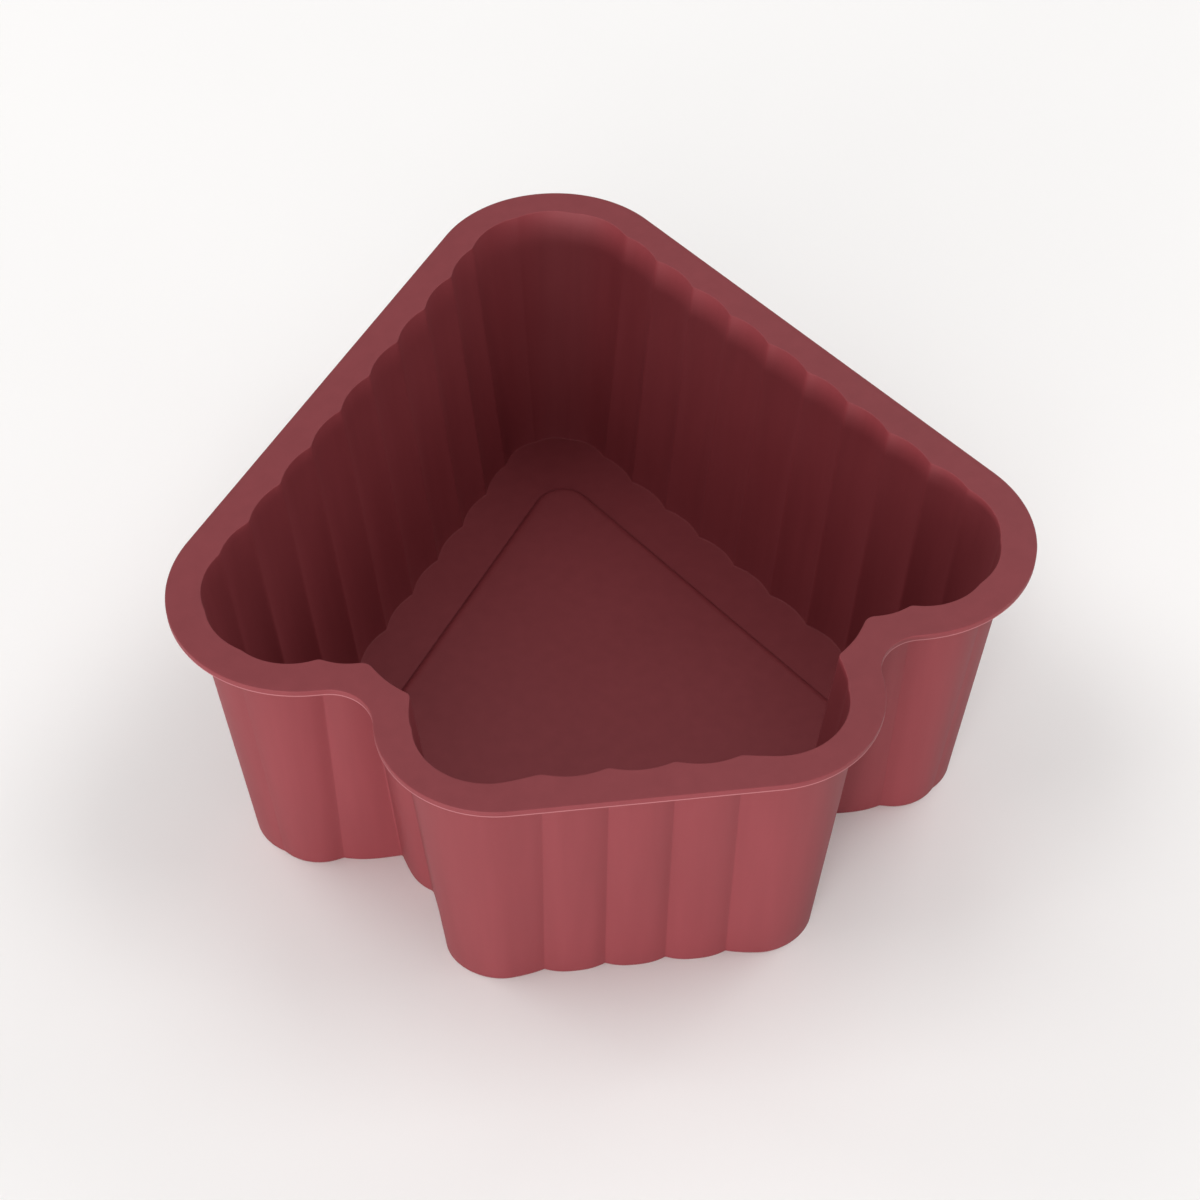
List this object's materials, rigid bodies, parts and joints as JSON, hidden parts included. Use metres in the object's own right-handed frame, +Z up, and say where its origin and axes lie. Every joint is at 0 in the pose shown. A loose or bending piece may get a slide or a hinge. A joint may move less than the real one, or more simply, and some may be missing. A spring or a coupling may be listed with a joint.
{
  "type": "resin casting mould",
  "caption": "House-shaped flexible mould with a fluted drafted wall, a flat rim lip and a raised gable panel in its floor, for casting resin, wax or soap.",
  "frame": {"origin": "on the face the mould stands on, under the middle of the rim's bounding box", "axes": "+Y towards the peak of the house, +Z up out of the cavity, +X to the right eave; symmetric about X = 0"},
  "size_m": [0.12, 0.1256, 0.046],
  "materials": {
    "silicone": "satin"
  },
  "bodies": {
    "root": {"rim_lip": "silicone", "peak_wall": "silicone", "roof_wall_right": "silicone", "roof_wall_left": "silicone", "eave_wall_right": "silicone", "eave_wall_left": "silicone", "neck_wall_right": "silicone", "neck_wall_left": "silicone", "corner_wall_right": "silicone", "corner_wall_left": "silicone", "front_wall": "silicone", "floor_roof_band": "silicone", "floor_gable_panel": "silicone"}
  },
  "joints": []
}
